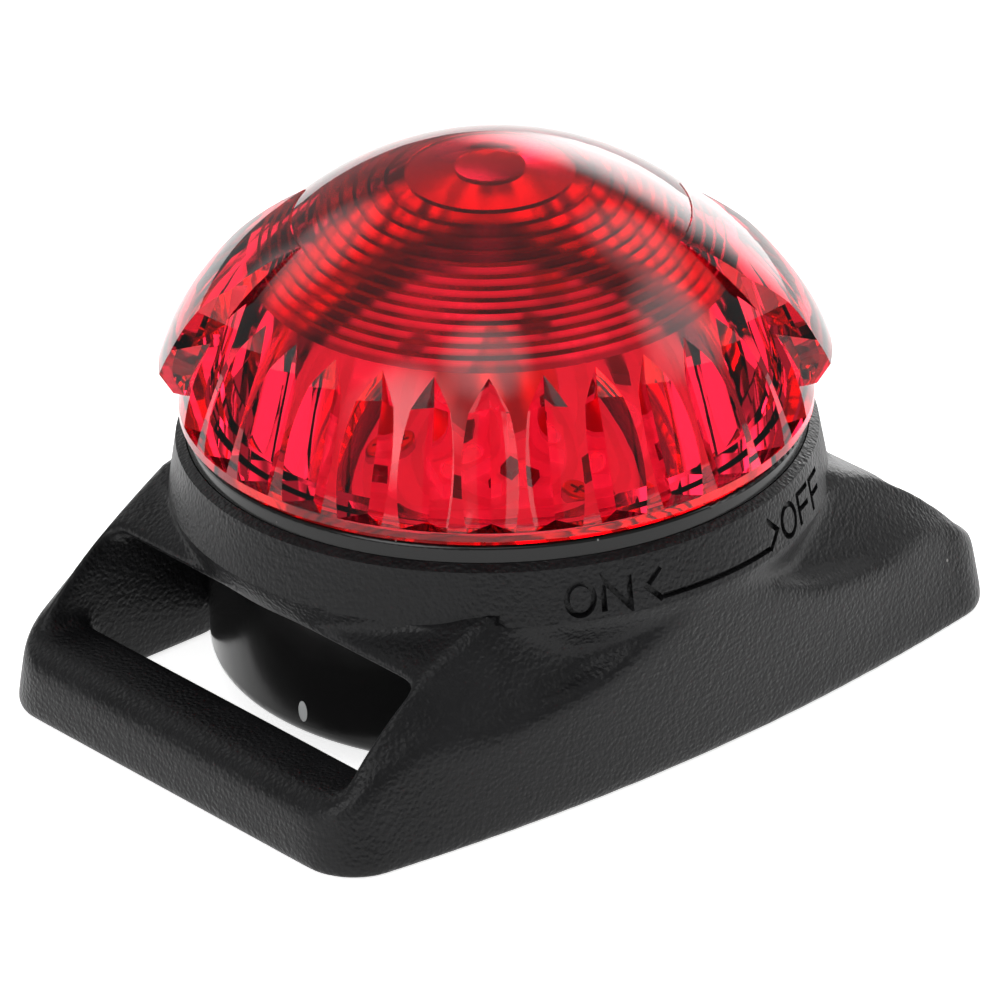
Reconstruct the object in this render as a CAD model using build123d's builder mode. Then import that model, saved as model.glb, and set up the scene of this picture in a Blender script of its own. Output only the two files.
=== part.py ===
"""Strap-mounted safety marker light: red twist lens on a black base with two webbing slots.

Millimetres. +X runs along the strap, +Y across it and +Z up. The origin is on the underside, at the centre.
"""
import os
from math import cos, radians, sin, sqrt, tan

from build123d import *

os.makedirs("parts", exist_ok=True)

# ---- driving dimensions -------------------------------------------------------------------------------

# strap base
base_half_length = 27.5
end_half_width = 17.35
middle_half_width = 19.3
base_corner_radius = 4.0
waist_height = 13.0          # level at which the outer wall is lofted to its upper outline
waist_end_half_width = 14.6
waist_middle_half_width = 20.5
bar_height = 5.0
bar_inner_x = 22.0
arm_inner_y = 14.4
shoulder_y = 17.7            # outer edge of the arms' sloping tops
ridge_foot_x = 26.0          # where the arms' inner ridge meets the bar's top
ridge_slope = 0.76
shoulder_height = 11.2       # level of the outer shoulder, taken to the middle of the base
shoulder_slope = 0.25
deck_edge_x = 19.5
deck_underside = 10.0
deck_top = 13.3
cup_bore_radius = 18.45

# collar round the lens, part of the strap base
collar_low_radius = 20.65
collar_low_z = 12.5
collar_top_radius = 20.06
collar_top_z = 15.96
collar_mouth_radius = 19.45
collar_mouth_z = 16.3
ledge_z = 14.4               # the cup's flange rests here

# engraved legend: two words with a double arrow between them
legend_centre = -88
legend_z = 13.9
legend_depth = 0.3
legend_stroke = 0.36
letter_width = 1.7
letter_height = 2.0

# battery cup
cup_radius = 18.4
cup_bottom = 1.6
cup_floor = 3.0
cup_flange_radius = 19.4
cup_rim_z = 17.4
cup_bore = 17.0
cup_edge_radius = 0.9
dot_azimuth = -173
dot_z = 3.4

# lens
dome_radius = 20.2
dome_centre_z = 14.38
lens_flange_top = 18.5
lens_flange_z = 17.46
lens_rim_radius = 19.3
inner_dome_radius = 18.7
skirt_radius = 16.9
skirt_bore = 15.6
skirt_bottom = 12.5
flute_count = 30
flute_top = (15.8, 27.0)     # radius and height where a flute starts
flute_shoulder = (16.05, 25.0)  # where the steep end of its valley gives way to the long slope
flute_foot = (18.5, 18.5)    # radius and height of the flute's valley at the flange
flute_half_angle = 52
first_ring_radius = 5.1
ring_count = 13
ring_area_step = 13.7        # growth of radius squared from one ring to the next
ring_depth = 0.35
nub_radius = 2.1
grip_azimuths = (-42, 138)
grip_radius = 20.9
grip_widest_z = 21.0
grip_bottom = 19.9
grip_half_width = 4.2
grip_tip_half_width = 2.2

# twist action
lens_lead = 2.4              # rise in one full turn
twist_to_release = 75        # degrees from fully home to the release slots
bayonet_count = 3
release_azimuth = 90         # first release slot
bayonet_lug_angle = 12
bayonet_lug_height = 1.2
bayonet_lug_radius = 17.65
bayonet_z = 13.6             # middle of the lugs when the lens is home
track_radius = 17.8
track_clearance = 0.15

# coin cells, 20 mm across and 3.2 mm thick
cell_radius = 10.0
cell_height = 3.2
cell_stack_z = 3.6

# contacts on the cup's floor
plate_radius = 7.8
plate_thickness = 0.3
rivet_circle = 6.9
rivet_radius = 0.6
rivet_depth = 0.6
strip_width = 3.0
spring_seat_z = 9.2          # top of the cell tray
can_wall = 0.3
cap_radius = 8.5
cap_height = 2.2
seal_top = 2.4               # height of a cell's insulating seal above its underside

# seal and snap ring on the lens skirt
seal_z = 15.7
seal_height = 1.4
seal_depth = 0.6
snap_groove_z = 13.4
snap_groove_height = 0.6
snap_ring_bore = 15.0
snap_ring_gap = 3.5
washer_bore = 15.0
spring_coil_radius = 14.9
spring_wire = 0.25

# light engine
screw_radius = 0.75
screw_length = 2.6
stud_radius = 1.2
carrier_flange_z = 10.9
carrier_flange_top = 12.2
carrier_radius = 16.8
carrier_bore = 12.2
sleeve_radius = 14.8
sleeve_bore = 13.6
lip_radius = 15.35           # lip round the sleeve's top, which the snap ring lifts
lip_height = 0.4
boss_radius = 1.35
board_z = 14.5
board_thickness = 1.0
board_radius = 14.8
led_count = 6
led_circle = 8.6
screw_circle = 12.6
screw_count = 3
screw_start = 30             # azimuth of the first screw
screw_head_height = 0.7
package_size = (2.8, 3.4, 0.9)
package_well_radius = 1.2
led_lens_radius = 1.0
resistor_size = (1.25, 2.0, 0.5)
chip_size = (3.9, 4.9, 1.4)
chip_x = -5.6
leg_size = (1.0, 0.42, 0.5)
leg_pitch = 1.27
capacitor_size = (3.2, 1.6, 1.6)
capacitor_spacing = 9.0
track_ring_radii = (10.4, 12.0)
track_ring_thickness = 0.12


def save(builder, name):
    """Label a finished piece and write it to its own STEP file."""
    builder.part.label = name
    export_step(builder.part, f"parts/{name}.step")


def dome_z(radius, sphere=dome_radius):
    """Height of a dome of the given sphere radius, at a distance from the axis."""
    return dome_centre_z + sqrt(sphere**2 - radius**2)


def radial_plane(azimuth, radius, z):
    """A plane facing outwards at an azimuth, with its own X running anticlockwise and its Y up."""
    a = radians(azimuth)
    return Plane(
        origin=(radius * cos(a), radius * sin(a), z),
        x_dir=(-sin(a), cos(a), 0),
        z_dir=(cos(a), sin(a), 0),
    )


# ---- strap base ---------------------------------------------------------------------------------------


def base_outline(half_length, half_width, mid_half_width):
    """Edges of a rounded rectangle whose long sides bow outwards."""
    corner_x = half_length - base_corner_radius
    corner_y = half_width - base_corner_radius
    with BuildLine() as outline:
        side = ThreePointArc((-corner_x, -half_width), (0, -mid_half_width), (corner_x, -half_width))
        corner = RadiusArc(side @ 1, (half_length, -corner_y), -base_corner_radius)
        end = Line(corner @ 1, (half_length, corner_y))
        upper = RadiusArc(end @ 1, (corner_x, half_width), -base_corner_radius)
        back = ThreePointArc(upper @ 1, (0, mid_half_width), (-corner_x, half_width))
        far = RadiusArc(back @ 1, (-half_length, corner_y), -base_corner_radius)
        left = Line(far @ 1, (-half_length, -corner_y))
        RadiusArc(left @ 1, side @ 0, -base_corner_radius)
    return outline.edges()


# ---- engraved legend ----------------------------------------------------------------------------------


def glyph(azimuth, strokes):
    """Outline of a letter or arrowhead made of straight strokes, just outside the collar at an azimuth."""
    with BuildSketch(radial_plane(azimuth, collar_low_radius + 0.2, legend_z)) as outline:
        for stroke in strokes:
            with BuildLine() as line:
                Polyline(*stroke)
            trace(line.edges(), line_width=legend_stroke)
    return outline.sketch


def ring_glyph(azimuth):
    """Outline of the letter O, just outside the collar at an azimuth."""
    with BuildSketch(radial_plane(azimuth, collar_low_radius + 0.2, legend_z)) as outline:
        Ellipse(half_w + legend_stroke / 2, half_h + legend_stroke / 2)
        Ellipse(half_w - legend_stroke / 2, half_h - legend_stroke / 2, mode=Mode.SUBTRACT)
    return outline.sketch


half_w = letter_width / 2
half_h = letter_height / 2
letter_n = [[(-half_w, -half_h), (-half_w, half_h), (half_w, -half_h), (half_w, half_h)]]
letter_f = [[(-half_w, -half_h), (-half_w, half_h), (half_w, half_h)], [(-half_w, 0), (half_w * 0.7, 0)]]
arrow_left = [[(half_w * 0.6, half_h), (-half_w * 0.6, 0), (half_w * 0.6, -half_h)]]
arrow_right = [[(-half_w * 0.6, half_h), (half_w * 0.6, 0), (-half_w * 0.6, -half_h)]]

glyphs = [
    ring_glyph(legend_centre - 29),
    glyph(legend_centre - 22.5, letter_n),
    glyph(legend_centre - 15.5, arrow_left),
    glyph(legend_centre + 12.5, arrow_right),
    ring_glyph(legend_centre + 18),
    glyph(legend_centre + 24.5, letter_f),
    glyph(legend_centre + 30.5, letter_f),
]
with BuildPart() as legend_cutter:
    for outline in glyphs:
        extrude(outline, amount=-(0.2 + legend_depth + 0.3))
    # the arrow's curved shaft
    with BuildSketch(Plane.XZ.rotated((0, 0, legend_centre - 14))):
        with Locations((collar_low_radius, legend_z - letter_height * 0.42)):
            Rectangle(2 * legend_depth + 0.3, legend_stroke)
    revolve(axis=Axis.Z, revolution_arc=25)


def ridge_z(x):
    """Height of the arms' inner ridge at a distance x from the middle."""
    return bar_height + (ridge_foot_x - x) * ridge_slope


def shoulder_z(x):
    """Height of the arms' outer shoulder, which climbs from the bar's corners to the collar."""
    return shoulder_height - shoulder_slope * x


# what is cut away above one arm, from the middle of the base out past its end: each section lies above
# the line from the arm's ridge to its shoulder
slope_sections = [
    (0, (collar_top_radius, 24), (collar_low_radius + 0.3, collar_low_z)),
    (9, (arm_inner_y + 0.6, ridge_z(9)), (shoulder_y, shoulder_z(9))),
    (28, (arm_inner_y + 0.6, ridge_z(28)), (shoulder_y, shoulder_z(28))),
]
with BuildPart() as arm_slope:
    for x, ridge, shoulder in slope_sections:
        with BuildSketch(Plane.YZ.offset(x)):
            Polygon(ridge, shoulder, (26, shoulder[1] - 2), (26, 30), (ridge[0], 30), align=None)
    loft(ruled=True)

with BuildPart() as strap_base:
    with BuildSketch(Plane.XY):
        make_face(base_outline(base_half_length, end_half_width, middle_half_width))
    with BuildSketch(Plane.XY.offset(waist_height + 0.5)):
        make_face(base_outline(base_half_length - 0.5, waist_end_half_width, waist_middle_half_width))
    loft(ruled=True)
    # side profile: low bars at both ends, arms that climb in a long curve to the deck
    with BuildSketch(Plane.XZ):
        with BuildLine():
            floor = Line((0, 0), (base_half_length + 0.1, 0))
            end_face = Line(floor @ 1, (base_half_length + 0.1, 2.8))
            nose = ThreePointArc(end_face @ 1, (27.0, 4.3), (25.9, bar_height))
            climb = ThreePointArc(nose @ 1, (20.4, 10.1), (14.0, deck_top))
            Line(climb @ 1, (0, deck_top))
            mirror(about=Plane.YZ)
        make_face()
    extrude(amount=30, both=True, mode=Mode.INTERSECT)
    add(arm_slope.part, mode=Mode.SUBTRACT)
    add(arm_slope.part.mirror(Plane.YZ), mode=Mode.SUBTRACT)
    add(arm_slope.part.mirror(Plane.XZ), mode=Mode.SUBTRACT)
    add(arm_slope.part.mirror(Plane.XZ).mirror(Plane.YZ), mode=Mode.SUBTRACT)
    # the webbing's way: over each bar, down through its slot and along under the cup
    with BuildSketch(Plane.XZ):
        with BuildLine():
            Polyline(
                (0, -1),
                (bar_inner_x - 0.4, -1),
                (bar_inner_x, bar_height),
                (base_half_length + 2, bar_height),
                (base_half_length + 2, 20),
                (deck_edge_x + 0.1, 20),
                (deck_edge_x, deck_underside),
                (0, deck_underside),
            )
            mirror(about=Plane.YZ)
        make_face()
    extrude(amount=arm_inner_y, both=True, mode=Mode.SUBTRACT)
    # collar round the lens
    with BuildSketch(Plane.XZ):
        Polygon(
            (cup_bore_radius - 0.5, deck_underside),
            (deck_edge_x, deck_underside),
            (collar_low_radius, collar_low_z),
            (collar_top_radius, collar_top_z),
            (collar_mouth_radius, collar_mouth_z),
            (cup_bore_radius - 0.5, collar_mouth_z),
            align=None,
        )
    revolve(axis=Axis.Z)
    # bore for the cup, with a ledge for its flange
    with BuildSketch(Plane.XZ):
        Polygon(
            (0, -1),
            (cup_bore_radius, -1),
            (cup_bore_radius, ledge_z),
            (collar_mouth_radius, ledge_z),
            (collar_mouth_radius, collar_mouth_z + 1),
            (0, collar_mouth_z + 1),
            align=None,
        )
    revolve(axis=Axis.Z, mode=Mode.SUBTRACT)
    # engraved legend on the collar
    add(legend_cutter.part, mode=Mode.SUBTRACT)
save(strap_base, "strap_base")


# ---- battery cup --------------------------------------------------------------------------------------

# pale index dot, let into the cup's wall
with BuildPart() as index_dot:
    with BuildSketch(radial_plane(dot_azimuth, cup_radius - 0.3, dot_z)):
        Ellipse(0.36, 0.7)
    extrude(amount=0.32)
save(index_dot, "index_dot")

release_slot_width = 4.4
with BuildPart() as bayonet_track:
    track_span = twist_to_release + bayonet_lug_angle / 2 + 2
    with BuildLine() as track_path:
        Helix(pitch=lens_lead, height=lens_lead * track_span / 360, radius=cup_bore + 0.1)
    track_start = track_path.line @ 0
    with BuildSketch(Plane(origin=track_start, x_dir=(1, 0, 0), z_dir=track_path.line % 0)):
        Rectangle(2 * (track_radius - cup_bore - 0.1), bayonet_lug_height + 2 * track_clearance)
    sweep(path=track_path.line, is_frenet=True)

with BuildPart() as battery_cup:
    with BuildSketch(Plane.XZ):
        Polygon(
            (0, cup_bottom),
            (cup_radius, cup_bottom),
            (cup_radius, ledge_z + 0.05),
            (cup_flange_radius, ledge_z + 0.05),
            (cup_flange_radius, cup_rim_z),
            (cup_bore, cup_rim_z),
            (cup_bore, cup_floor),
            (0, cup_floor),
            align=None,
        )
    revolve(axis=Axis.Z)
    bottom_edge = battery_cup.edges().filter_by(GeomType.CIRCLE).group_by(Axis.Z)[0]
    fillet(bottom_edge, cup_edge_radius)
    rim_edge = battery_cup.edges().filter_by(GeomType.CIRCLE).group_by(Axis.Z)[-1].sort_by(SortBy.RADIUS)[-1]
    fillet(rim_edge, 0.3)
    # release slots, open at the top; the light engine's keys stay in their lower ends
    with BuildSketch(Plane.XY.offset(carrier_flange_z - 0.6)):
        with PolarLocations(cup_bore - 0.1, bayonet_count, start_angle=release_azimuth):
            Rectangle(2 * (track_radius - cup_bore) + 0.2, release_slot_width)
    extrude(amount=10, mode=Mode.SUBTRACT)
    # helical tracks, which draw the lens down as it turns clockwise
    track_azimuth = release_azimuth - twist_to_release - bayonet_lug_angle / 2 - 2
    track_z = bayonet_z - lens_lead * (bayonet_lug_angle / 2 + 2) / 360
    for turn in range(bayonet_count):
        placed = bayonet_track.part.rotate(Axis.Z, track_azimuth + turn * 360 / bayonet_count)
        add(placed.translate((0, 0, track_z)), mode=Mode.SUBTRACT)
    # blind holes for the contact plate's rivets, and the index dot's recess
    with BuildSketch(Plane.XY.offset(cup_floor)):
        with PolarLocations(rivet_circle, 3, start_angle=30):
            Circle(rivet_radius)
    extrude(amount=-rivet_depth, mode=Mode.SUBTRACT)
    add(index_dot.part, mode=Mode.SUBTRACT)
save(battery_cup, "battery_cup")


# ---- lens ---------------------------------------------------------------------------------------------


def groove_wedge(low, high):
    """All that lies outside a V-shaped groove whose valley runs through two (radius, height) points."""
    valley = Vector(high[0] - low[0], 0, high[1] - low[1]).normalized()
    with BuildPart() as wedge:
        start = Vector(low[0], 0, low[1]) - valley * 15
        with BuildSketch(Plane(origin=start, x_dir=(0, 1, 0), z_dir=valley)):
            half_opening = groove_depth * tan(radians(flute_half_angle))
            Polygon((0, 0), (-half_opening, -groove_depth), (half_opening, -groove_depth), align=None)
        extrude(amount=30)
    return wedge.part


# one groove of the fluted wall, at azimuth 0, cut off level with the flange
groove_depth = 6
with BuildPart() as flute_cutter:
    add(groove_wedge(flute_foot, flute_shoulder))
    add(groove_wedge(flute_shoulder, flute_top), mode=Mode.INTERSECT)
    split(bisect_by=Plane.XY.offset(lens_flange_top), keep=Keep.TOP)

# one finger grip, at azimuth 0: a rib with a curved back that narrows outwards
with BuildPart() as finger_grip:
    with BuildSketch(Plane.XZ):
        with BuildLine():
            back = ThreePointArc((12.4, 30.4), (17.9, 26.2), (grip_radius, grip_widest_z))
            Polyline(back @ 1, (grip_radius - 0.8, grip_bottom), (11, grip_bottom), (11, 30.4), back @ 0)
        make_face()
    revolve(axis=Axis.Z)
    with BuildSketch(Plane.XY.offset(grip_bottom - 1)):
        Polygon(
            (11, -grip_half_width),
            (17, -grip_half_width),
            (grip_radius + 0.2, -grip_tip_half_width),
            (grip_radius + 0.2, grip_tip_half_width),
            (17, grip_half_width),
            (11, grip_half_width),
            align=None,
        )
    extrude(amount=12, mode=Mode.INTERSECT)

# one lug of the bayonet, at azimuth 0
with BuildPart() as bayonet_lug:
    with BuildSketch(Plane.XZ):
        with Locations((skirt_radius, bayonet_z)):
            Rectangle(2 * (bayonet_lug_radius - skirt_radius), bayonet_lug_height)
    revolve(axis=Axis.Z, revolution_arc=bayonet_lug_angle)


def ring_radius(step):
    """Outer radius of each optical ring: every ring covers the same area."""
    return sqrt(first_ring_radius**2 + ring_area_step * step)


with BuildPart() as lens_dome:
    # outside: dome, flange and skirt, as one solid
    with BuildSketch(Plane.XZ):
        with BuildLine():
            flange_radius = sqrt(dome_radius**2 - (lens_flange_top - dome_centre_z) ** 2)
            dome = ThreePointArc(
                (0, dome_centre_z + dome_radius), (14, dome_z(14)), (flange_radius, lens_flange_top)
            )
            Polyline(
                dome @ 1,
                (flange_radius, lens_flange_z + 0.45),
                (lens_rim_radius, lens_flange_z),
                (skirt_radius, lens_flange_z),
                (skirt_radius, skirt_bottom),
                (0, skirt_bottom),
                dome @ 0,
            )
        make_face()
    revolve(axis=Axis.Z)
    for azimuth in grip_azimuths:
        add(finger_grip.part.rotate(Axis.Z, azimuth))
    for turn in range(bayonet_count):
        lug_azimuth = release_azimuth - twist_to_release - bayonet_lug_angle / 2 + turn * 360 / bayonet_count
        add(bayonet_lug.part.rotate(Axis.Z, lug_azimuth))
    # flutes all round, except where the grips stand
    for index in range(flute_count):
        azimuth = index * 360 / flute_count
        clear = all(abs((azimuth - grip + 180) % 360 - 180) > 9 for grip in grip_azimuths)
        if clear:
            add(flute_cutter.part.rotate(Axis.Z, azimuth), mode=Mode.SUBTRACT)
    # inside: smooth nub, optical rings under the dome, fluted wall's lining, skirt bore
    with BuildSketch(Plane.XZ):
        with BuildLine():
            nub_z = dome_z(0, inner_dome_radius) - 0.4
            nub_edge_z = dome_z(nub_radius, inner_dome_radius)
            nub = Polyline((0, nub_z), (nub_radius, nub_z), (nub_radius, nub_edge_z))
            rings = [nub @ 1]
            for step in range(ring_count + 1):
                radius = ring_radius(step)
                rings.append((radius, dome_z(radius, inner_dome_radius)))
                if step < ring_count:
                    rings.append((radius, dome_z(radius, inner_dome_radius) + ring_depth))
            teeth = Polyline(*rings)
            Polyline(
                teeth @ 1,
                (16.6, lens_flange_top + 0.1),
                (16.6, lens_flange_z + 0.2),
                (skirt_bore, lens_flange_z - 0.4),
                (skirt_bore, skirt_bottom - 1),
                (0, skirt_bottom - 1),
                (0, nub_z),
            )
        make_face()
    revolve(axis=Axis.Z, mode=Mode.SUBTRACT)
    # seal groove outside the skirt, snap ring groove inside it
    with BuildSketch(Plane.XZ):
        with Locations((skirt_radius, seal_z)):
            Rectangle(2 * seal_depth, seal_height)
        with Locations((skirt_bore, snap_groove_z + snap_groove_height / 2)):
            Rectangle(0.9, snap_groove_height)
    revolve(axis=Axis.Z, mode=Mode.SUBTRACT)
save(lens_dome, "lens_dome")


# ---- cells and contacts, fixed in the cup -------------------------------------------------------------

with BuildPart() as cell_tray:
    with BuildSketch(Plane.XY.offset(cup_floor + 0.05)):
        Circle(carrier_radius)
        Circle(cell_radius + 0.15, mode=Mode.SUBTRACT)
        with Locations((cell_radius + 0.6, 0)):
            Rectangle(1.6, strip_width + 0.4, mode=Mode.SUBTRACT)
    extrude(amount=spring_seat_z - cup_floor - 0.05)
    # three pockets lighten the ring and leave finger room round the cells
    with BuildSketch(Plane.XY.offset(spring_seat_z)):
        with PolarLocations(cell_radius + 1.4, 3, start_angle=60):
            SlotOverall(5.6, 3.2, rotation=90)
    extrude(amount=-(spring_seat_z - cup_floor - 1.2), mode=Mode.SUBTRACT)
save(cell_tray, "cell_tray")

with BuildPart() as contact_plate:
    with BuildSketch(Plane.XY.offset(cup_floor)):
        Circle(plate_radius)
        with PolarLocations(3.9, 3, start_angle=60):
            Rectangle(5.0, 2.4, mode=Mode.SUBTRACT)
        with PolarLocations(rivet_circle, 3, start_angle=30):
            Circle(rivet_radius + 0.03, mode=Mode.SUBTRACT)
    extrude(amount=plate_thickness)
    # sprung fingers, bent up to the lower cell
    for turn in range(3):
        with BuildSketch(Plane.XZ.rotated((0, 0, 60 + 120 * turn))):
            Polygon(
                (6.5, cup_floor),
                (6.5, cup_floor + plate_thickness),
                (3.0, cell_stack_z),
                (2.2, cell_stack_z),
                (2.2, cell_stack_z - 0.2),
                (3.0, cell_stack_z - 0.2),
                (6.1, cup_floor),
                align=None,
            )
        extrude(amount=0.8, both=True)
save(contact_plate, "contact_plate")

with BuildPart() as plate_rivets:
    with BuildSketch(Plane.XY.offset(cup_floor - rivet_depth)):
        with PolarLocations(rivet_circle, 3, start_angle=30):
            Circle(rivet_radius)
    extrude(amount=rivet_depth + plate_thickness)
    with BuildSketch(Plane.XY.offset(cup_floor + plate_thickness)):
        with PolarLocations(rivet_circle, 3, start_angle=30):
            Circle(rivet_radius + 0.4)
    extrude(amount=0.22)
save(plate_rivets, "plate_rivets")

strip_tip_z = board_z - 0.15
with BuildPart() as side_contact:
    with BuildSketch(Plane.XZ):
        with BuildLine():
            foot_z = cup_floor + plate_thickness
            strip_x = cell_radius + 0.45
            Polyline(
                (plate_radius - 1, foot_z),
                (strip_x + 0.25, foot_z),
                (strip_x + 0.25, strip_tip_z - 0.9),
                (strip_x + 1.3, strip_tip_z - 0.25),
                (strip_x + 1.3, strip_tip_z),
                (strip_x + 0.9, strip_tip_z),
                (strip_x, strip_tip_z - 0.7),
                (strip_x, foot_z + 0.25),
                (plate_radius - 1, foot_z + 0.25),
                close=True,
            )
        make_face()
    extrude(amount=strip_width / 2, both=True)
save(side_contact, "side_contact")


for name, cell_z in (("lower_cell", cell_stack_z), ("upper_cell", cell_stack_z + cell_height)):
    top_z = cell_z + cell_height
    can_inner = cell_radius - can_wall
    with BuildPart() as cell_can:
        with BuildSketch(Plane.XZ):
            Polygon(
                (0, top_z - can_wall),
                (can_inner, top_z - can_wall),
                (can_inner, cell_z + 0.35),
                (cell_radius, cell_z + 0.35),
                (cell_radius, top_z),
                (0, top_z),
                align=None,
            )
        revolve(axis=Axis.Z)
    save(cell_can, f"{name}_can")
    with BuildPart() as cell_cap:
        with BuildSketch(Plane.XZ):
            Polygon(
                (0, cell_z),
                (cap_radius, cell_z),
                (cap_radius, cell_z + cap_height),
                (cap_radius - can_wall, cell_z + cap_height),
                (cap_radius - can_wall, cell_z + can_wall),
                (0, cell_z + can_wall),
                align=None,
            )
        revolve(axis=Axis.Z)
    save(cell_cap, f"{name}_cap")
    with BuildPart() as cell_seal:
        with BuildSketch(Plane.XZ):
            Polygon(
                (cap_radius, cell_z + 0.15),
                (cap_radius + 0.8, cell_z + 0.15),
                (can_inner, cell_z + 0.4),
                (can_inner, cell_z + seal_top),
                (cap_radius, cell_z + seal_top),
                align=None,
            )
        revolve(axis=Axis.Z)
    save(cell_seal, f"{name}_seal")


# ---- light engine, which rises and falls with the lens ------------------------------------------------

key_width = release_slot_width - 0.4
with BuildPart() as board_carrier:
    with BuildSketch(Plane.XY.offset(carrier_flange_z)):
        Circle(carrier_radius)
        Circle(carrier_bore, mode=Mode.SUBTRACT)
        with PolarLocations(carrier_radius, bayonet_count, start_angle=release_azimuth):
            Rectangle(1.7, key_width)
    extrude(amount=carrier_flange_top - carrier_flange_z)
    # sleeve up to the board, with a lip that the snap ring lifts
    with BuildSketch(Plane.XY.offset(carrier_flange_top)):
        Circle(sleeve_radius)
        Circle(sleeve_bore, mode=Mode.SUBTRACT)
    extrude(amount=board_z - carrier_flange_top)
    with BuildSketch(Plane.XY.offset(board_z - lip_height)):
        Circle(lip_radius)
        Circle(sleeve_bore, mode=Mode.SUBTRACT)
    extrude(amount=lip_height)
    # screw bosses
    with BuildSketch(Plane.XY.offset(carrier_flange_z)):
        with PolarLocations(screw_circle, screw_count, start_angle=screw_start):
            Circle(boss_radius)
    extrude(amount=board_z - carrier_flange_z)
    with BuildSketch(Plane.XY.offset(board_z)):
        with PolarLocations(screw_circle, screw_count, start_angle=screw_start):
            Circle(screw_radius)
    extrude(amount=-screw_length, mode=Mode.SUBTRACT)
save(board_carrier, "board_carrier")

board_top = board_z + board_thickness
with BuildPart() as led_board:
    with BuildSketch(Plane.XY.offset(board_z)):
        Circle(board_radius)
        with PolarLocations(screw_circle, screw_count, start_angle=screw_start):
            Circle(screw_radius, mode=Mode.SUBTRACT)
        Circle(stud_radius, mode=Mode.SUBTRACT)
    extrude(amount=board_thickness)
save(led_board, "led_board")

with BuildPart() as board_screws:
    with BuildSketch(Plane.XY.offset(board_z - screw_length)):
        with PolarLocations(screw_circle, screw_count, start_angle=screw_start):
            Circle(screw_radius)
    extrude(amount=screw_length + board_thickness)
    with BuildSketch(Plane.XY.offset(board_top)):
        with PolarLocations(screw_circle, screw_count, start_angle=screw_start):
            Circle(boss_radius)
    extrude(amount=screw_head_height)
    fillet(board_screws.edges().filter_by(GeomType.CIRCLE).group_by(Axis.Z)[-1], 0.25)
    # cross recesses
    with BuildSketch(Plane.XY.offset(board_top + screw_head_height)):
        with PolarLocations(screw_circle, screw_count, start_angle=screw_start):
            Rectangle(1.4, 0.3)
            Rectangle(0.3, 1.4)
    extrude(amount=-0.4, mode=Mode.SUBTRACT)
save(board_screws, "board_screws")

with BuildPart() as led_packages:
    with BuildSketch(Plane.XY.offset(board_top)):
        with PolarLocations(led_circle, led_count):
            Rectangle(package_size[0], package_size[1])
    extrude(amount=package_size[2])
    with BuildSketch(Plane.XY.offset(board_top + package_size[2])):
        with PolarLocations(led_circle, led_count):
            Circle(package_well_radius)
    extrude(amount=-0.4, taper=20, mode=Mode.SUBTRACT)
save(led_packages, "led_packages")

with BuildPart() as led_lenses:
    with BuildSketch(Plane.XY.offset(board_top + 0.5)):
        with PolarLocations(led_circle, led_count):
            Circle(led_lens_radius)
    extrude(amount=0.9)
    fillet(led_lenses.edges().filter_by(GeomType.CIRCLE).group_by(Axis.Z)[-1], 0.8)
save(led_lenses, "led_lenses")

with BuildPart() as beam_cone:
    with BuildSketch(Plane.XZ):
        with BuildLine():
            flare = ThreePointArc((4.2, board_top + 0.4), (1.9, board_top + 2.2), (0.7, board_top + 5.0))
            Polyline(flare @ 1, (0, board_top + 5.3), (0, board_top), (4.2, board_top), flare @ 0)
        make_face()
    revolve(axis=Axis.Z)
save(beam_cone, "beam_cone")

with BuildPart() as resistors:
    with BuildSketch(Plane.XY.offset(board_top)):
        with PolarLocations(led_circle, led_count, start_angle=30):
            Rectangle(resistor_size[0], resistor_size[1])
    extrude(amount=resistor_size[2])
save(resistors, "resistors")

with BuildPart() as controller_chip:
    with BuildSketch(Plane.XY.offset(board_z)):
        with Locations((chip_x, 0)):
            Rectangle(chip_size[0], chip_size[1])
    extrude(amount=-chip_size[2])
    chamfer(controller_chip.faces().sort_by(Axis.Z)[0].edges(), 0.25)
save(controller_chip, "controller_chip")

with BuildPart() as chip_legs:
    with BuildSketch(Plane.XY.offset(board_z)):
        for side in (-1, 1):
            with Locations((chip_x + side * (chip_size[0] + leg_size[0]) / 2, 0)):
                with GridLocations(0, leg_pitch, 1, 4):
                    Rectangle(leg_size[0], leg_size[1])
    extrude(amount=-leg_size[2])
save(chip_legs, "chip_legs")

with BuildPart() as capacitors:
    with BuildSketch(Plane.XY.offset(board_z)):
        with GridLocations(0, capacitor_spacing, 1, 2):
            Rectangle(capacitor_size[0], capacitor_size[1])
    extrude(amount=-capacitor_size[2])
save(capacitors, "capacitors")

with BuildPart() as contact_ring:
    with BuildSketch(Plane.XY.offset(board_z)):
        Circle(track_ring_radii[1])
        Circle(track_ring_radii[0], mode=Mode.SUBTRACT)
        with PolarLocations(screw_circle, screw_count, start_angle=screw_start):
            Circle(1.45, mode=Mode.SUBTRACT)
    extrude(amount=-track_ring_thickness)
save(contact_ring, "contact_ring")

cell_top = cell_stack_z + 2 * cell_height
with BuildPart() as contact_stud:
    with BuildSketch(Plane.XZ):
        Polygon(
            (0, cell_top + 0.02),
            (1.0, cell_top + 0.02),
            (1.6, cell_top + 0.5),
            (1.6, board_z - 1.2),
            (2.2, board_z - 0.9),
            (2.2, board_z),
            (stud_radius, board_z),
            (stud_radius, board_top - 0.1),
            (0, board_top - 0.1),
            align=None,
        )
    revolve(axis=Axis.Z)
save(contact_stud, "contact_stud")

with BuildPart() as thrust_washer:
    with BuildSketch(Plane.XY.offset(carrier_flange_top)):
        Circle(carrier_radius)
        Circle(washer_bore, mode=Mode.SUBTRACT)
    extrude(amount=skirt_bottom - 0.03 - carrier_flange_top)
save(thrust_washer, "thrust_washer")

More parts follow.
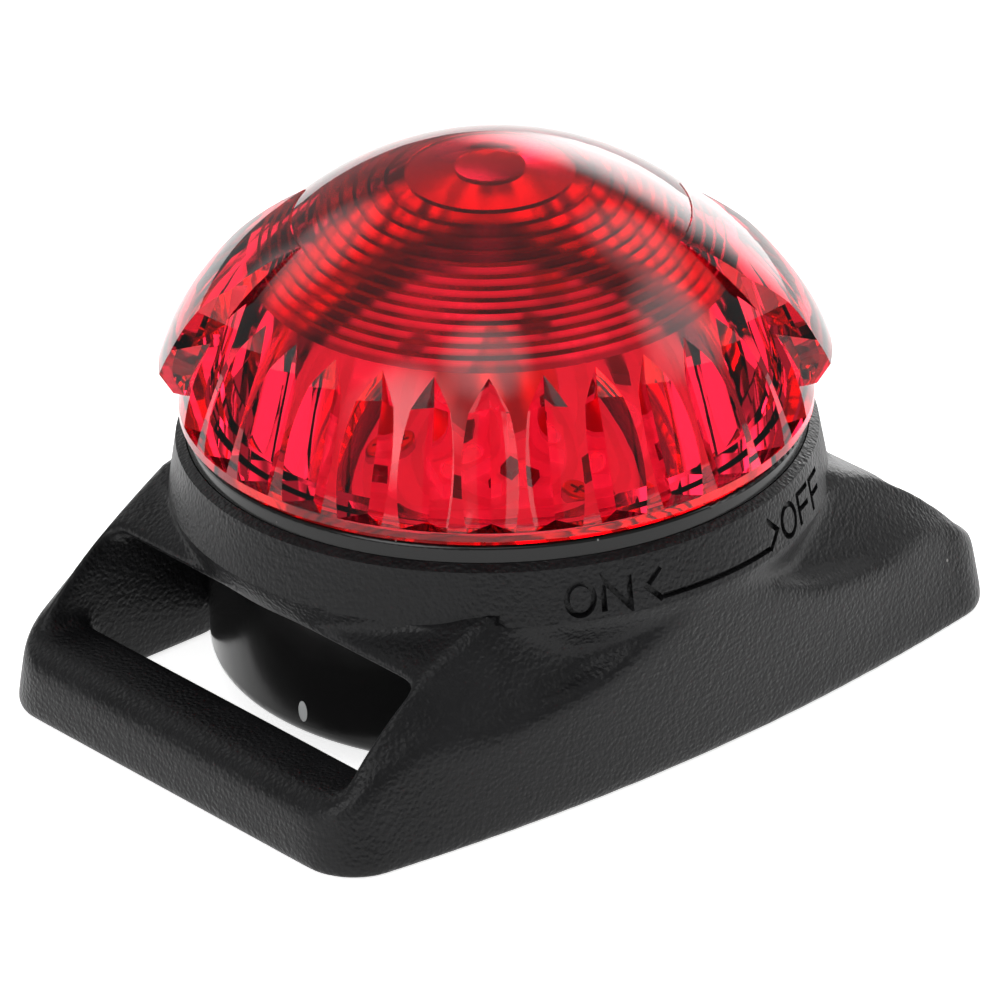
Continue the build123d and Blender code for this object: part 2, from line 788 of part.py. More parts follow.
with BuildPart() as lift_spring:
    first_turn_z = spring_seat_z + spring_wire + 0.02
    last_turn_z = carrier_flange_z - spring_wire - 0.02
    coil_height = last_turn_z - first_turn_z
    with BuildLine() as coil:
        Helix(pitch=coil_height / 2, height=coil_height, radius=spring_coil_radius)
    with BuildSketch(Plane(origin=coil.line @ 0, x_dir=(1, 0, 0), z_dir=coil.line % 0)):
        Circle(spring_wire)
    sweep(path=coil.line, is_frenet=True)
lift_spring.part = lift_spring.part.translate((0, 0, first_turn_z))
save(lift_spring, "lift_spring")


# ---- rings carried by the lens ------------------------------------------------------------------------

with BuildPart() as lens_seal_ring:
    with BuildSketch(Plane.XZ):
        with Locations((skirt_radius - seal_depth / 2 + 0.02, seal_z)):
            Ellipse(seal_depth / 2, seal_height / 2 - 0.05)
    revolve(axis=Axis.Z)
save(lens_seal_ring, "lens_seal_ring")

with BuildPart() as snap_ring:
    with BuildSketch(Plane.XY.offset(snap_groove_z + 0.05)):
        Circle(skirt_bore + 0.35)
        Circle(snap_ring_bore, mode=Mode.SUBTRACT)
        with Locations((15.5, 0)):
            Rectangle(3, snap_ring_gap, mode=Mode.SUBTRACT)
    extrude(amount=0.45)
save(snap_ring, "snap_ring")
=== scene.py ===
"""Strap-mounted warning light: finishes, rounded mouldings and studio, built round the CAD frame."""
import math

import bpy
import numpy as np
from mathutils import Matrix, Vector


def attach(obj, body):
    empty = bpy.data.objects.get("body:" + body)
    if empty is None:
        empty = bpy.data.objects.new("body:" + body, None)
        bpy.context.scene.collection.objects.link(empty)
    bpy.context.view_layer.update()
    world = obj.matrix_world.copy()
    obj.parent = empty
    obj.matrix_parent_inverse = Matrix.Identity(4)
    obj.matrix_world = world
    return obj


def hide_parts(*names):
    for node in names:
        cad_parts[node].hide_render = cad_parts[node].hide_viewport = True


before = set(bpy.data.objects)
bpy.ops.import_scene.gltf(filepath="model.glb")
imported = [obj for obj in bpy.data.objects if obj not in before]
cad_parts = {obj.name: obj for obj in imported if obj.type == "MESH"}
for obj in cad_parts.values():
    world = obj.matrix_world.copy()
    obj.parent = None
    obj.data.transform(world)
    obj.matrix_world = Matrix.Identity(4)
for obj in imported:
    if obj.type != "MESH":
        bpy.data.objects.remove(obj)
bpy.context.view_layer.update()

bl_info = {
    "name": "Strap Warning Light",
    "version": (1, 0, 0),
    "blender": (4, 5, 0),
    "location": "View3D > Sidebar > Warning Light",
    "description": "Finishes, rounded base and studio for a strap-mounted warning light",
    "category": "Object",
}

MM = 0.001

# the lens's dome, and the optical rings cut inside it
DOME_CENTRE = 14.38 * MM              # height of the dome's centre
INNER_DOME = 18.7 * MM                # radius of its inside
INNER_MARGIN = (0.5 * MM, 0.7 * MM)   # the inside's finish fades out this far beyond that radius
RING_REACH = 14.3 * MM                # the rings lie within this distance of the axis
RING_MARGIN = 0.3 * MM                # their finish fades out over this width
FIRST_RING = 5.1 * MM                 # distance from the axis where the rings begin
RING_AREA_STEP = 13.7 * MM * MM       # growth of radius squared from one ring to the next
RING_DEEPENS_AND_SHADES = (0.40, 0.75)           # part of each ring's area over which its colour deepens: thicker plastic, and painted shade that marks the ring's step

# the base's collar, which stays crisp
COLLAR_FOOT = (20.65 * MM, 12.5 * MM)     # radius and height where the collar starts
COLLAR_TOP = (20.06 * MM, 15.96 * MM)     # radius and height of the bevel at its top
COLLAR_INSIDE = 19.3 * MM                 # its faces lie farther from the axis than this
COLLAR_MARGIN = (0.07 * MM, 0.01 * MM)    # and may pass its foot by this much, outwards and downwards

# the base's body, which is rounded and tucked in behind the collar
CELLS_ACROSS_ROUNDING = 5     # mesh cells across the softness
DRIFT_ROUNDS = 110            # a point's drift spreads over half the root of the rounds, about 5 cells
TUCK = 0.4 * MM               # how far the body draws in
TUCK_NEAR = 0.15 * MM         # all the way where it is this close outside the collar's wall
TUCK_FADE = 0.35 * MM         # then less and less over this distance
TUCK_RISE = 0.3 * MM          # starting over this height above the collar's foot
TUCK_INSIDE = 18.9 * MM       # what is nearer the axis than this stays
TUCK_LOWERED = 15.2 * MM      # what is higher than this also sinks

SHARP_EDGE = math.radians(35)     # edges that turn by more than this stay sharp
FINE_GRAIN = 0.01 * MM            # depth of the grain on most small parts
SOFT_GRAIN = 0.02 * MM            # depth of the grain on the uncoloured mouldings
DUST = (0.30, 0.29, 0.28)
WHITE = (1.0, 1.0, 1.0)

# soft lights round the room: direction, half angle in degrees, share of the studio's glow
SIDE_GLOWS = [
    ((-0.85, -0.15, 0.50), 24, 1.0),
    ((0.72, -0.45, 0.53), 20, 0.6),
    ((0.85, 0.50, 0.12), 24, 1.0),
    ((-0.40, -0.38, 0.85), 18, 0.7),
    ((0.75, -0.02, 0.66), 18, 0.3),
    ((-0.05, 0.87, 0.49), 18, 0.25),
]
LOW_SKY = 0.05                    # the room starts to brighten at this sine of the height angle
FLOOR_REACH = 1.6                 # metres from the middle of the floor to each side
AIM_HEIGHT = 15.49 * MM           # the camera looks at this height on the axis
CAMERA_SHIFT = (0.0026, -0.0682)  # share of the frame's width
SENSOR_WIDTH = 36.0               # millimetres
NEAREST_SEEN = 0.01               # metres from the camera


# ---- shader maths ------------------------------------------------------------------------------------


class Value:
    """A number carried by a socket, so that sums on it add Math nodes."""

    def __init__(self, build, socket):
        self.build = build
        self.socket = socket

    def _math(self, operation, first, second=None):
        inputs = {0: first}
        if second is not None:
            inputs[1] = second
        made = self.build.node("ShaderNodeMath", {"operation": operation}, inputs)
        return Value(self.build, made.outputs[0])

    def __add__(self, other):
        return self._math("ADD", self, other)

    __radd__ = __add__

    def __sub__(self, other):
        return self._math("SUBTRACT", self, other)

    def __rsub__(self, other):
        return self._math("SUBTRACT", other, self)

    def __mul__(self, other):
        return self._math("MULTIPLY", self, other)

    __rmul__ = __mul__

    def __truediv__(self, other):
        return self._math("DIVIDE", self, other)

    def __rtruediv__(self, other):
        return self._math("DIVIDE", other, self)

    def __gt__(self, other):
        return self._math("GREATER_THAN", self, other)

    def fraction(self):
        """What is left after the whole part."""
        return self._math("FRACT", self)


class Build:
    """Adds nodes to the tree of one material, or of the world."""

    def __init__(self, name, world=False):
        group = bpy.data.worlds if world else bpy.data.materials
        self.block = group.new(name)
        self.block.use_nodes = True
        self.tree = self.block.node_tree
        self.tree.nodes.clear()
        self.output = self.node("ShaderNodeOutputWorld" if world else "ShaderNodeOutputMaterial")
        self.place = self.node("ShaderNodeTexCoord").outputs["Generated" if world else "Object"]

    def node(self, kind, settings=None, inputs=None):
        """One node: its settings first, then the values or links of its sockets."""
        made = self.tree.nodes.new(kind)
        for name, value in (settings or {}).items():
            setattr(made, name, value)
        for name, value in (inputs or {}).items():
            self.feed(made.inputs[name], value)
        return made

    def feed(self, socket, value):
        """Link a socket to a value, or set it."""
        if isinstance(value, Value):
            value = value.socket
        if isinstance(value, bpy.types.NodeSocket):
            self.tree.links.new(value, socket)
        else:
            socket.default_value = value

    def noise(self, scale, detail=3.0):
        """Even noise from 0 to 1; scale is in features per metre."""
        inputs = {"Vector": self.place, "Scale": scale, "Detail": detail}
        return Value(self, self.node("ShaderNodeTexNoise", {}, inputs).outputs["Fac"])

    def cells(self, scale, feature="F1"):
        """Distance to scattered points; scale is in points per metre."""
        inputs = {"Vector": self.place, "Scale": scale}
        made = self.node("ShaderNodeTexVoronoi", {"feature": feature}, inputs)
        return Value(self, made.outputs["Distance"])

    def ramp(self, value, low, high):
        """A smooth step of a value, from 0 at the low limit to 1 at the high one."""
        inputs = {"Value": value, "From Min": low, "From Max": high}
        settings = {"interpolation_type": "SMOOTHSTEP"}
        return Value(self, self.node("ShaderNodeMapRange", settings, inputs).outputs["Result"])

    def vector(self, operation, first, second):
        """A vector worked out from two."""
        return self.node("ShaderNodeVectorMath", {"operation": operation}, {0: first, 1: second}).outputs[0]

    def measure(self, operation, *vectors):
        """A number taken from one or two vectors."""
        inputs = dict(enumerate(vectors))
        return Value(self, self.node("ShaderNodeVectorMath", {"operation": operation}, inputs).outputs[1])

    def reach(self):
        """Distance from the lens's axis, in metres."""
        return self.measure("LENGTH", self.vector("MULTIPLY", self.place, (1.0, 1.0, 0.0)))

    def blend(self, factor, first, second):
        """A colour between two colours."""
        inputs = {"Factor": factor, 6: first, 7: second}
        return self.node("ShaderNodeMix", {"data_type": "RGBA"}, inputs).outputs[2]

    def bump(self, height, distance, strength):
        """A normal from a height."""
        inputs = {"Height": height, "Distance": distance, "Strength": strength}
        return self.node("ShaderNodeBump", {}, inputs).outputs["Normal"]

    def finish(self, **inputs):
        """Close the tree with a Principled shader."""
        shader = self.node("ShaderNodeBsdfPrincipled")
        for name, value in inputs.items():
            self.feed(shader.inputs[name.replace("_", " ")], value)
        self.tree.links.new(shader.outputs[0], self.output.inputs["Surface"])
        return self.block


# ---- finishes ----------------------------------------------------------------------------------------


def colour(values, scale=1.0):
    """A colour socket's four numbers from three."""
    return (values[0] * scale, values[1] * scale, values[2] * scale, 1.0)


def satin_black(props):
    """Spark-textured satin black moulding, lighter where it has been handled, with specks of dust."""
    build = Build("satin_black_moulding")
    grain = build.cells(scale=3600, feature="SMOOTH_F1")
    pores = build.noise(scale=5200, detail=2.0)
    flow = build.noise(scale=260, detail=4.0)
    specks = build.cells(scale=330)
    dust = (1 - build.ramp(specks, 0.030, 0.050)) * (build.noise(scale=90, detail=1.0) > 0.56)
    handled = build.ramp(flow, 0.35, 0.7)
    tone = build.blend(handled, colour(props.base_colour), colour(props.base_colour, scale=1.35))
    tone = build.blend(dust * 0.8, tone, colour(DUST))
    return build.finish(
        Base_Color=tone,
        Roughness=0.34 + handled * 0.08 + dust * 0.3,
        Normal=build.bump(grain * 0.7 + pores * 0.5, distance=0.1 * MM, strength=0.8),
        Specular_IOR_Level=0.21,
    )


def gloss_black(props):
    """Polished black moulding with faint handling haze and specks of dust."""
    build = Build("polished_black_moulding")
    haze = build.ramp(build.noise(scale=140, detail=4.0), 0.35, 0.75)
    specks = 1 - build.ramp(build.cells(scale=420), 0.02, 0.04)
    return build.finish(
        Base_Color=build.blend(specks * 0.7, colour(props.cup_colour), colour(DUST)),
        Roughness=0.10 + haze * 0.12 + specks * 0.4,
        Normal=build.bump(build.noise(scale=700, detail=2.0), distance=0.03 * MM, strength=0.25),
        IOR=1.38,
    )


def red_lens(props):
    """Clear red moulding: glassy outside, slightly frosted where the optical rings are cut inside, darker
    across each ring with painted shade.
    """
    build = Build("clear_red_moulding")
    cloud = build.ramp(build.noise(scale=60, detail=2.0), 0.3, 0.7)
    tone = build.blend(cloud, colour(props.lens_colour), colour(props.lens_colour, scale=0.94))
    from_centre = build.measure("DISTANCE", build.place, (0.0, 0.0, DOME_CENTRE))
    inside = 1 - build.ramp(from_centre, INNER_DOME + INNER_MARGIN[0], INNER_DOME + INNER_MARGIN[1])
    from_axis = build.reach()
    rings = inside * (1 - build.ramp(from_axis, RING_REACH, RING_REACH + RING_MARGIN))
    # every ring covers the same area; the moulding is thickest, and deepest in colour, at its outer edge,
    # and this darker colour is also painted shade that marks each ring's step
    across_ring = ((from_axis * from_axis - FIRST_RING**2) / RING_AREA_STEP + 1).fraction()
    ring_thickness_and_shade = build.ramp(across_ring, *RING_DEEPENS_AND_SHADES) * rings * (from_axis > FIRST_RING)
    # painted shade: the lens colour darkens across each ring, partly for thicker plastic, partly to mark
    # the ring's step
    tone = build.blend(ring_thickness_and_shade * props.ring_depth_and_shade, tone, colour(props.lens_colour, scale=0.10))
    return build.finish(
        Base_Color=tone,
        Roughness=0.03 + rings * props.ring_frost,
        Transmission_Weight=1.0,
        IOR=1.43,
        Normal=build.bump(build.noise(scale=240, detail=2.0), distance=0.06 * MM, strength=0.35),
    )


def plain(name, base, roughness, grain_scale, grain_depth=FINE_GRAIN, **extra):
    """A finish whose tone, gloss and grain vary a little over the surface."""
    build = Build(name)
    patch = build.noise(scale=grain_scale * 0.12)
    tone = build.blend(build.ramp(patch, 0.3, 0.7), colour(base), colour(base, scale=0.88))
    return build.finish(
        Base_Color=tone,
        Roughness=roughness * 0.85 + patch * (roughness * 0.3),
        Normal=build.bump(build.noise(scale=grain_scale), distance=grain_depth, strength=0.5),
        **extra,
    )


def brushed_metal(name, base, roughness):
    """Plated metal with fine drawn lines round the axis."""
    build = Build(name)
    stretch = {"Vector": build.place, "Scale": (400.0, 400.0, 9000.0)}
    stretched = build.node("ShaderNodeMapping", {}, stretch).outputs[0]
    lines = build.node("ShaderNodeTexNoise", {}, {"Vector": stretched, "Scale": 1.0, "Detail": 3.0})
    line = Value(build, lines.outputs["Fac"])
    tarnish = build.ramp(build.noise(scale=220), 0.45, 0.75)
    return build.finish(
        Base_Color=build.blend(tarnish, colour(base), colour(base, scale=0.82)),
        Roughness=roughness + line * 0.12 + tarnish * 0.08,
        Metallic=1.0,
        Normal=build.bump(line, distance=0.01 * MM, strength=0.4),
    )


def solder_mask():
    """White solder mask over faint copper tracks, which run round the board outside its middle; the board
    also glows faintly, painted light that brightens the inside of the dome.
    """
    build = Build("white_board_painted_glow")
    wave = {"Vector": build.place, "Scale": 130.0, "Distortion": 1.5, "Detail": 1.0}
    circles = build.node("ShaderNodeTexWave", {"wave_type": "RINGS", "rings_direction": "Z"}, wave)
    track = build.ramp(Value(build, circles.outputs["Fac"]), 0.62, 0.70)
    track = track * build.ramp(build.reach(), 4.5 * MM, 5.0 * MM)
    tone = build.blend(track * 0.35, (0.80, 0.81, 0.78, 1.0), (0.55, 0.50, 0.40, 1.0))
    return build.finish(
        Base_Color=tone,
        Roughness=0.32 + track * 0.1,
        Normal=build.bump(track, distance=0.04 * MM, strength=0.6),
        # painted light: the board is no lamp, yet glows in its own colour to brighten the inside of the
        # dome
        Emission_Color=tone,
        Emission_Strength=0.55,
    )


def clear_resin():
    """Clear resin over the light-emitting chip, with a slightly warmer cast in patches."""
    build = Build("clear_resin")
    cast = build.ramp(build.noise(scale=900, detail=2.0), 0.4, 0.6)
    return build.finish(
        Base_Color=build.blend(cast, (0.98, 0.86, 0.70, 1.0), (0.95, 0.93, 0.88, 1.0)),
        Roughness=0.06 + build.noise(scale=500) * 0.04,
        Transmission_Weight=0.8,
        IOR=1.5,
    )


def pale_floor():
    """Pale light-table floor with a trace of mottling."""
    build = Build("studio_floor")
    mottle = build.ramp(build.noise(scale=6), 0.3, 0.7)
    return build.finish(
        Base_Color=build.blend(mottle, (0.90, 0.90, 0.90, 1.0), (0.885, 0.885, 0.885, 1.0)),
        Roughness=0.75,
        Emission_Color=colour(WHITE),
        Emission_Strength=0.8,
    )


def dress(node, material):
    """Give a CAD node its finish, in its own material slots; a node that isn't there is an error."""
    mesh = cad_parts[node].data
    mesh.materials.clear()
    mesh.materials.append(material)


# ---- mesh work ---------------------------------------------------------------------------------------


def even_skin(node, cell):
    """A fresh mesh of even cells over a CAD node's surface."""
    block = bpy.data.objects.new("block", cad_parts[node].data.copy())
    bpy.context.scene.collection.objects.link(block)
    even = block.modifiers.new("even", "REMESH")
    even.mode = "VOXEL"
    even.voxel_size = cell
    graph = bpy.context.evaluated_depsgraph_get()
    mesh = bpy.data.meshes.new_from_object(block.evaluated_get(graph))
    bpy.data.objects.remove(block)
    return mesh


def points(mesh):
    """A mesh's vertices, one row each."""
    flat = np.empty(len(mesh.vertices) * 3)
    mesh.vertices.foreach_get("co", flat)
    return flat.reshape(-1, 3)


def axis_distance(place):
    """Distance of each point from the lens's axis."""
    return np.hypot(place[:, 0], place[:, 1])


def corners(mesh):
    """A mesh's faces as lists of vertex numbers."""
    return [list(face.vertices) for face in mesh.polygons]


def relaxed(mesh, rounds):
    """A mesh's vertices after each has drifted towards the middle of its neighbours, round after round."""
    place = points(mesh)
    count = len(place)
    ends = np.empty(len(mesh.edges) * 2, int)
    mesh.edges.foreach_get("vertices", ends)
    first = ends[0::2]
    second = ends[1::2]
    neighbours = np.bincount(ends, minlength=count)
    for _ in range(rounds):
        for axis in range(3):
            line = place[:, axis]
            total = np.bincount(first, line[second], count) + np.bincount(second, line[first], count)
            place[:, axis] = (line + total / neighbours) / 2
    return place


def chosen_faces(place, faces, keep):
    """The faces whose corners are all kept, with the vertices they use."""
    kept = [face for face in faces if all(keep[corner] for corner in face)]
    used = sorted({corner for face in kept for corner in face})
    new = {old: index for index, old in enumerate(used)}
    return place[used], [[new[corner] for corner in face] for face in kept]


def piece(name, parts, material, body, nodes):
    """One object from several (vertices, faces) parts, standing for CAD nodes and riding on their body."""
    place = []
    faces = []
    for some_points, some_faces in parts:
        start = len(place)
        place.extend(map(tuple, some_points))
        faces.extend([corner + start for corner in face] for face in some_faces)
    mesh = bpy.data.meshes.new(name)
    mesh.from_pydata(place, [], faces)
    mesh.materials.append(material)
    mesh.shade_smooth()
    mesh.set_sharp_from_angle(angle=SHARP_EDGE)
    made = bpy.data.objects.new(name, mesh)
    bpy.context.scene.collection.objects.link(made)
    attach(made, body)
    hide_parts(*nodes)
    return made


# ---- sizes and colours a user would change -----------------------------------------------------------


class LightFinishes(bpy.types.PropertyGroup):
    """Colours of the moulded parts, and the rounding of the base."""

    base_colour: bpy.props.FloatVectorProperty(
        name="Base", description="Colour of the satin base moulding", subtype="COLOR", size=3,
        default=(0.0055, 0.0055, 0.006), min=0.0, max=1.0,
    )
    cup_colour: bpy.props.FloatVectorProperty(
        name="Cup", description="Colour of the polished battery cup", subtype="COLOR", size=3,
        default=(0.006, 0.006, 0.006), min=0.0, max=1.0,
    )
    lens_colour: bpy.props.FloatVectorProperty(
        name="Lens", description="Colour of the clear lens", subtype="COLOR", size=3,
        default=(0.93, 0.012, 0.045), min=0.0, max=1.0,
    )
    ring_frost: bpy.props.FloatProperty(
        name="Ring Frost", description="Roughness added by the rings inside the dome",
        default=0.10, min=0.0, max=1.0,
    )
    # how far the rings darken the lens colour: thicker plastic, and partly painted shade at each ring's
    # step
    ring_depth_and_shade: bpy.props.FloatProperty(
        name="Ring Depth", description="How much deeper the colour is where a ring is thickest",
        default=0.9, min=0.0, max=1.0,
    )
    moulding_softness: bpy.props.FloatProperty(
        name="Softness", description="Distance over which the base's edges are rounded", unit="LENGTH",
        default=0.7 * MM, min=0.4 * MM, max=2.0 * MM,
    )


class LightStudio(bpy.types.PropertyGroup):
    """Camera and light."""

    distance: bpy.props.FloatProperty(
        name="Distance", description="From the camera to the point it looks at", unit="LENGTH",
        default=0.5782, min=0.1,
    )
    azimuth: bpy.props.FloatProperty(
        name="Azimuth", description="Camera's turn about the object", subtype="ANGLE",
        default=math.radians(-40.43),
    )
    elevation: bpy.props.FloatProperty(
        name="Elevation", description="Camera's height angle", subtype="ANGLE",
        default=math.radians(26.47),
    )
    roll: bpy.props.FloatProperty(
        name="Roll", description="Camera's lean to one side", subtype="ANGLE",
        default=math.radians(-1.61),
    )
    lens: bpy.props.FloatProperty(
        name="Lens", description="Focal length", subtype="DISTANCE_CAMERA",
        default=334.2, min=20.0,
    )
    glow: bpy.props.FloatProperty(
        name="Glow", description="Brightness of the side glows",
        default=4.5, min=0.0,
    )
    horizon: bpy.props.FloatProperty(
        name="Horizon", description="Brightness of the room at floor level",
        default=0.30, min=0.0,
    )
    zenith: bpy.props.FloatProperty(
        name="Zenith", description="Brightness of the room overhead",
        default=0.42, min=0.0,
    )


# ---- operators ---------------------------------------------------------------------------------------


class WARNLIGHT_OT_base(bpy.types.Operator):
    """Dress the strap base, the battery cup and the index dot"""

    bl_idname = "warnlight.base"
    bl_label = "Base and Cup"

    def execute(self, context):
        props = context.scene.warnlight_finishes
        self.soft_base(satin_black(props), props.moulding_softness)
        dress("battery_cup", gloss_black(props))
        dress("index_dot", plain("pale_ink", (0.42, 0.43, 0.43), roughness=0.6, grain_scale=6000))
        return {"FINISHED"}

    def soft_base(self, material, softness):
        """The base with softly rounded arms, bars and foot; its engraved collar stays crisp."""
        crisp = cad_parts["strap_base"].data
        place = points(crisp)
        distance = axis_distance(place)
        on_collar = (
            (place[:, 2] > COLLAR_FOOT[1] - COLLAR_MARGIN[1])
            & (distance > COLLAR_INSIDE)
            & (distance < COLLAR_FOOT[0] + COLLAR_MARGIN[0])
        )
        collar = chosen_faces(place, corners(crisp), on_collar)
        if not collar[1]:
            raise RuntimeError("the base has no collar")
        skin = even_skin("strap_base", softness / CELLS_ACROSS_ROUNDING)
        body = relaxed(skin, DRIFT_ROUNDS)
        self.tuck(body)
        parts = [collar, (body, corners(skin))]
        piece("base_moulding", parts, material, "base", ["strap_base"])

    def tuck(self, body):
        """Draw the soft body in where the crisp collar covers it."""
        climb = (COLLAR_TOP[0] - COLLAR_FOOT[0]) / (COLLAR_TOP[1] - COLLAR_FOOT[1])
        distance = axis_distance(body)
        wall = COLLAR_FOOT[0] + (body[:, 2] - COLLAR_FOOT[1]) * climb
        apart = np.abs(distance - wall)
        share = 1 - np.clip((apart - TUCK_NEAR) / TUCK_FADE, 0, 1)
        share = np.where(distance < wall, np.where(distance > TUCK_INSIDE, 1.0, 0.0), share)
        share *= np.clip((body[:, 2] - COLLAR_FOOT[1]) / TUCK_RISE, 0, 1)
        body[:, :2] *= (1 - share * TUCK / distance)[:, None]
        body[:, 2] -= share * TUCK * (body[:, 2] > TUCK_LOWERED)


class WARNLIGHT_OT_lens(bpy.types.Operator):
    """Dress the lens, its seal and its snap ring"""

    bl_idname = "warnlight.lens"
    bl_label = "Lens"

    def execute(self, context):
        dress("lens_dome", red_lens(context.scene.warnlight_finishes))
        rubber = plain("greased_rubber", (0.02, 0.02, 0.02), roughness=0.35, grain_scale=3000)
        dress("lens_seal_ring", rubber)
        dress("snap_ring", brushed_metal("spring_steel", (0.55, 0.55, 0.56), roughness=0.25))
        return {"FINISHED"}


class WARNLIGHT_OT_cells(bpy.types.Operator):
    """Dress the cells, the tray, the contacts and the lift spring"""

    bl_idname = "warnlight.cells"
    bl_label = "Cells and Contacts"

    def execute(self, context):
        plated = brushed_metal("plated_cell_steel", (0.72, 0.72, 0.70), roughness=0.22)
        grommet = plain("cell_grommet", (0.10, 0.10, 0.11), roughness=0.5, grain_scale=4000)
        tinned = brushed_metal("tinned_strip", (0.76, 0.74, 0.68), roughness=0.28)
        for cell in ("lower_cell", "upper_cell"):
            dress(f"{cell}_can", plated)
            dress(f"{cell}_cap", plated)
            dress(f"{cell}_seal", grommet)
        natural = plain(
            "natural_moulding", (0.75, 0.75, 0.72), roughness=0.45, grain_scale=2500, grain_depth=SOFT_GRAIN
        )
        dress("cell_tray", natural)
        dress("contact_plate", tinned)
        dress("side_contact", tinned)
        dress("plate_rivets", brushed_metal("rivet_brass", (0.80, 0.62, 0.28), roughness=0.22))
        dress("lift_spring", brushed_metal("drawn_wire", (0.55, 0.55, 0.56), roughness=0.25))
        return {"FINISHED"}


class WARNLIGHT_OT_engine(bpy.types.Operator):
    """Dress the light engine: carrier, board, lamps, cone and small parts"""

    bl_idname = "warnlight.engine"
    bl_label = "Light Engine"

    def execute(self, context):
        tinned = brushed_metal("tinned_copper", (0.76, 0.72, 0.64), roughness=0.28)
        natural = plain(
            "carrier_moulding", (0.75, 0.75, 0.72), roughness=0.45, grain_scale=2500, grain_depth=SOFT_GRAIN
        )
        dress("board_carrier", natural)
        dress("led_board", solder_mask())
        dress("board_screws", brushed_metal("zinc_plate", (0.70, 0.70, 0.70), roughness=0.25))
        # painted light: the lamp packages glow faintly white, which brightens the inside of the dome
        package = plain(
            "lamp_package_painted_glow", (0.90, 0.90, 0.86), roughness=0.35, grain_scale=3000,
            Emission_Color=colour(WHITE), Emission_Strength=0.5,
        )
        dress("led_packages", package)
        dress("led_lenses", clear_resin())
        dress("beam_cone", brushed_metal("metallised_cone", (0.90, 0.90, 0.90), roughness=0.26))
        dress("resistors", plain("resistor_body", (0.16, 0.14, 0.13), roughness=0.4, grain_scale=4000))
        dress("controller_chip", plain("chip_epoxy", (0.04, 0.04, 0.04), roughness=0.5, grain_scale=5000))
        dress("chip_legs", tinned)
        dress("capacitors", plain("capacitor_body", (0.62, 0.45, 0.22), roughness=0.4, grain_scale=3000))
        dress("contact_ring", tinned)
        dress("contact_stud", brushed_metal("turned_brass", (0.80, 0.62, 0.28), roughness=0.2))
        dress("thrust_washer", plain("slip_washer", (0.90, 0.90, 0.88), roughness=0.3, grain_scale=3000))
        return {"FINISHED"}


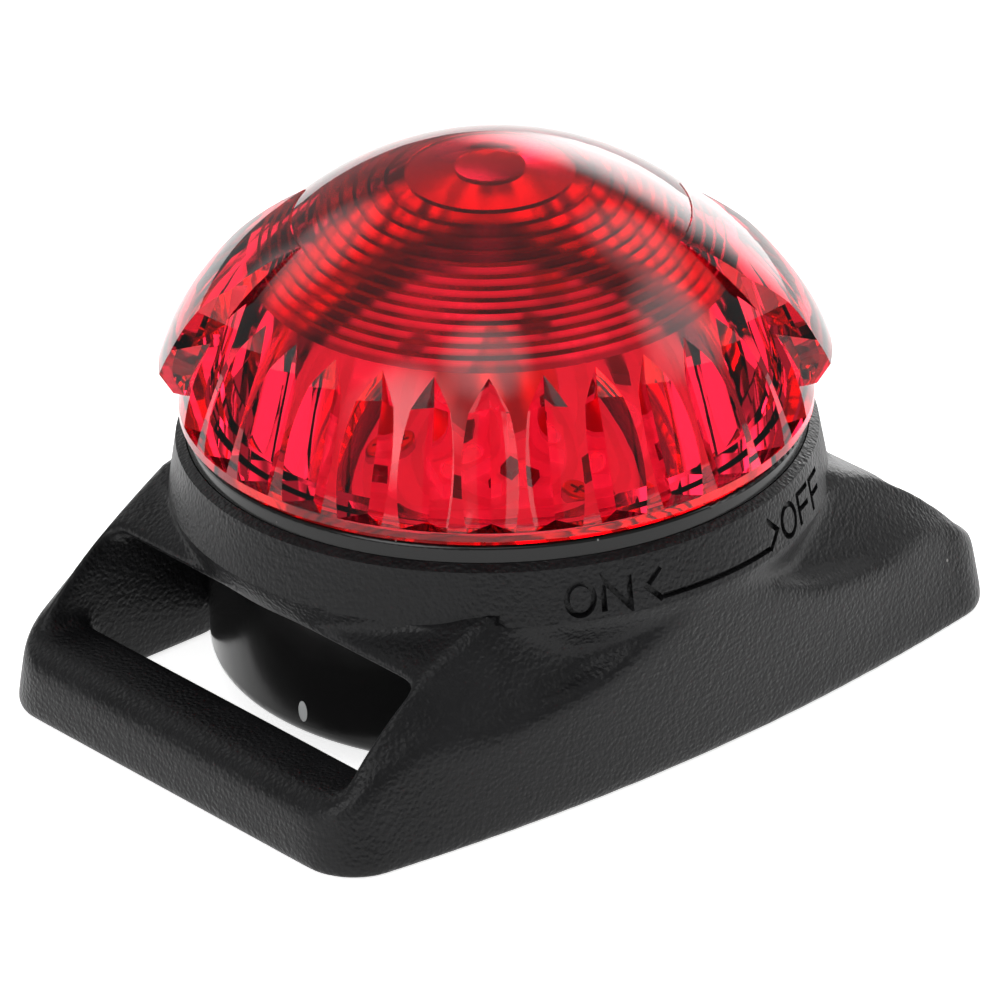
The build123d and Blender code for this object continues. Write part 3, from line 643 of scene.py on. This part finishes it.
class WARNLIGHT_OT_stage(bpy.types.Operator):
    """Lay the floor, light the room and set the camera"""

    bl_idname = "warnlight.stage"
    bl_label = "Studio"

    def execute(self, context):
        studio = context.scene.warnlight_studio
        self.floor()
        self.camera(studio)
        self.air(studio, context.scene)
        context.scene.view_settings.view_transform = "Standard"
        return {"FINISHED"}

    def air(self, studio, scene):
        """The room all round: dim at the horizon, brighter overhead, with soft glows from the sides."""
        build = Build("studio_air", world=True)
        upward = build.measure("DOT_PRODUCT", build.place, (0.0, 0.0, 1.0))
        light = studio.horizon + build.ramp(upward, LOW_SKY, 1.0) * (studio.zenith - studio.horizon)
        for direction, half_angle, share in SIDE_GLOWS:
            facing = build.measure("DOT_PRODUCT", build.place, tuple(Vector(direction).normalized()))
            glow = build.ramp(facing, math.cos(math.radians(half_angle)), 1.0)
            light = light + glow * (studio.glow * share)
        background = build.node("ShaderNodeBackground", {}, {"Color": colour(WHITE), "Strength": light})
        build.feed(build.output.inputs["Surface"], background.outputs[0])
        scene.world = build.block

    def floor(self):
        """A wide pale sheet that the base stands on."""
        mesh = bpy.data.meshes.new("studio_floor")
        near = -FLOOR_REACH
        far = FLOOR_REACH
        outline = [(near, near, 0), (far, near, 0), (far, far, 0), (near, far, 0)]
        mesh.from_pydata(outline, [], [(0, 1, 2, 3)])
        mesh.materials.append(pale_floor())
        floor = bpy.data.objects.new("studio_floor", mesh)
        bpy.context.scene.collection.objects.link(floor)

    def camera(self, studio):
        """A long lens from the front left, looking down on the light."""
        azimuth = studio.azimuth
        elevation = studio.elevation
        back = Vector((
            math.sin(azimuth) * math.cos(elevation),
            -math.cos(azimuth) * math.cos(elevation),
            math.sin(elevation),
        ))
        level = Vector((math.cos(azimuth), math.sin(azimuth), 0))
        upright = back.cross(level)
        right = level * math.cos(studio.roll) + upright * math.sin(studio.roll)
        up = upright * math.cos(studio.roll) - level * math.sin(studio.roll)
        place = Vector((0, 0, AIM_HEIGHT)) + back * studio.distance
        data = bpy.data.cameras.new("camera")
        data.lens = studio.lens
        data.sensor_width = SENSOR_WIDTH
        data.shift_x = CAMERA_SHIFT[0]
        data.shift_y = CAMERA_SHIFT[1]
        data.clip_start = NEAREST_SEEN
        camera = bpy.data.objects.new("camera", data)
        camera.matrix_world = Matrix((
            (right.x, up.x, back.x, place.x),
            (right.y, up.y, back.y, place.y),
            (right.z, up.z, back.z, place.z),
            (0, 0, 0, 1),
        ))
        bpy.context.scene.collection.objects.link(camera)
        bpy.context.scene.camera = camera


class WARNLIGHT_PT_panel(bpy.types.Panel):
    """Every size and colour, and a button for each group of pieces"""

    bl_idname = "WARNLIGHT_PT_panel"
    bl_label = "Warning Light"
    bl_space_type = "VIEW_3D"
    bl_region_type = "UI"
    bl_category = "Warning Light"

    def draw(self, context):
        layout = self.layout
        for name, group in PROPERTIES.items():
            settings = getattr(context.scene, name)
            for setting in group.__annotations__:
                layout.prop(settings, setting)
        for step in STEPS:
            layout.operator(step.bl_idname)


PROPERTIES = {"warnlight_finishes": LightFinishes, "warnlight_studio": LightStudio}
STEPS = [
    WARNLIGHT_OT_base,
    WARNLIGHT_OT_lens,
    WARNLIGHT_OT_cells,
    WARNLIGHT_OT_engine,
    WARNLIGHT_OT_stage,
]


def register():
    """Make the settings, the operators and the panel known to Blender."""
    for name, group in PROPERTIES.items():
        bpy.utils.register_class(group)
        setattr(bpy.types.Scene, name, bpy.props.PointerProperty(type=group))
    for step in STEPS:
        bpy.utils.register_class(step)
    bpy.utils.register_class(WARNLIGHT_PT_panel)


def unregister():
    """Take away all that register adds."""
    bpy.utils.unregister_class(WARNLIGHT_PT_panel)
    for step in reversed(STEPS):
        bpy.utils.unregister_class(step)
    for name, group in PROPERTIES.items():
        delattr(bpy.types.Scene, name)
        bpy.utils.unregister_class(group)


def main():
    """Build every group of pieces and the stage."""
    register()
    bpy.ops.warnlight.base()
    bpy.ops.warnlight.lens()
    bpy.ops.warnlight.cells()
    bpy.ops.warnlight.engine()
    bpy.ops.warnlight.stage()


if __name__ == "__main__":
    main()
